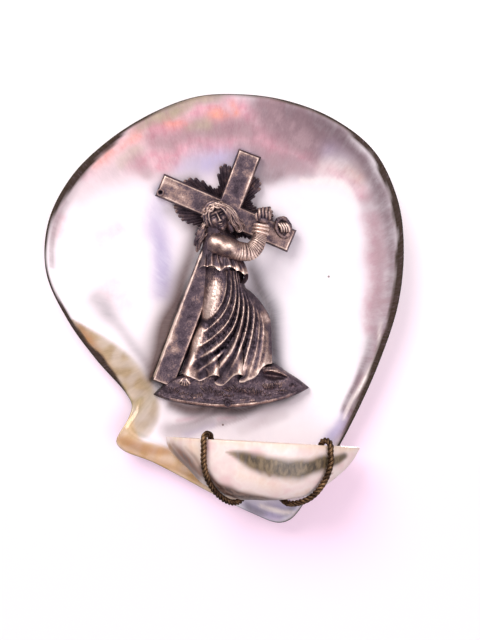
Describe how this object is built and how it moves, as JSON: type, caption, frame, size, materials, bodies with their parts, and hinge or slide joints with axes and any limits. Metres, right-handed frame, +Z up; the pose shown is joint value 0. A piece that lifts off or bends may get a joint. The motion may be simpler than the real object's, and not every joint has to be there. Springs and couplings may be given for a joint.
{
  "type": "holy water font",
  "caption": "Wall font: a pearl-oyster valve with a cast figure carrying a cross riveted on the nacre and a small shell basin tied below with twisted wire; hanging ring behind.",
  "frame": {"origin": "on the wall's plane at Y = 0, on the middle of the nail that the raised ring hangs on", "axes": "+X to the viewer's right, +Z up, the front with the figure and basin faces -Y, and the wall is at Y = 0"},
  "size_m": [0.134, 0.0354, 0.1604],
  "materials": {
    "nacre": "polished mother of pearl with a pink and lilac sheen, a grey outer margin and a yellow hinge",
    "basin_shell": "polished sea shell, cream and pink with a grey-green band",
    "brown_brass": "twisted wire with a dark brown patina",
    "white_metal": "silvered white-metal casting, dark in its hollows and bright on its worn edges",
    "brass": "dull old brass"
  },
  "bodies": {
    "font": {"shell_valve": "nacre", "font_basin": "basin_shell", "cradle_wire": "brown_brass", "cross": "white_metal", "glory_rays": "white_metal", "ground": "white_metal", "figure": "white_metal", "far_hand": "white_metal", "rivet_cross": "white_metal", "rivet_ground": "white_metal", "rivet_washer_cross": "brass", "rivet_washer_ground": "brass", "hanger_stud": "brass", "hanger_washer": "brass", "hanger_strap": "brass", "hanger_nut": "brass"},
    "ring": {"hanger_ring": "brass"}
  },
  "joints": [
    {"name": "ring_swing", "type": "hinge", "parent": "font", "child": "ring", "pos_m": [0, -0.00184, -0.00895], "axis": [1, 0, 0], "range_deg": [0, 180]}
  ]
}
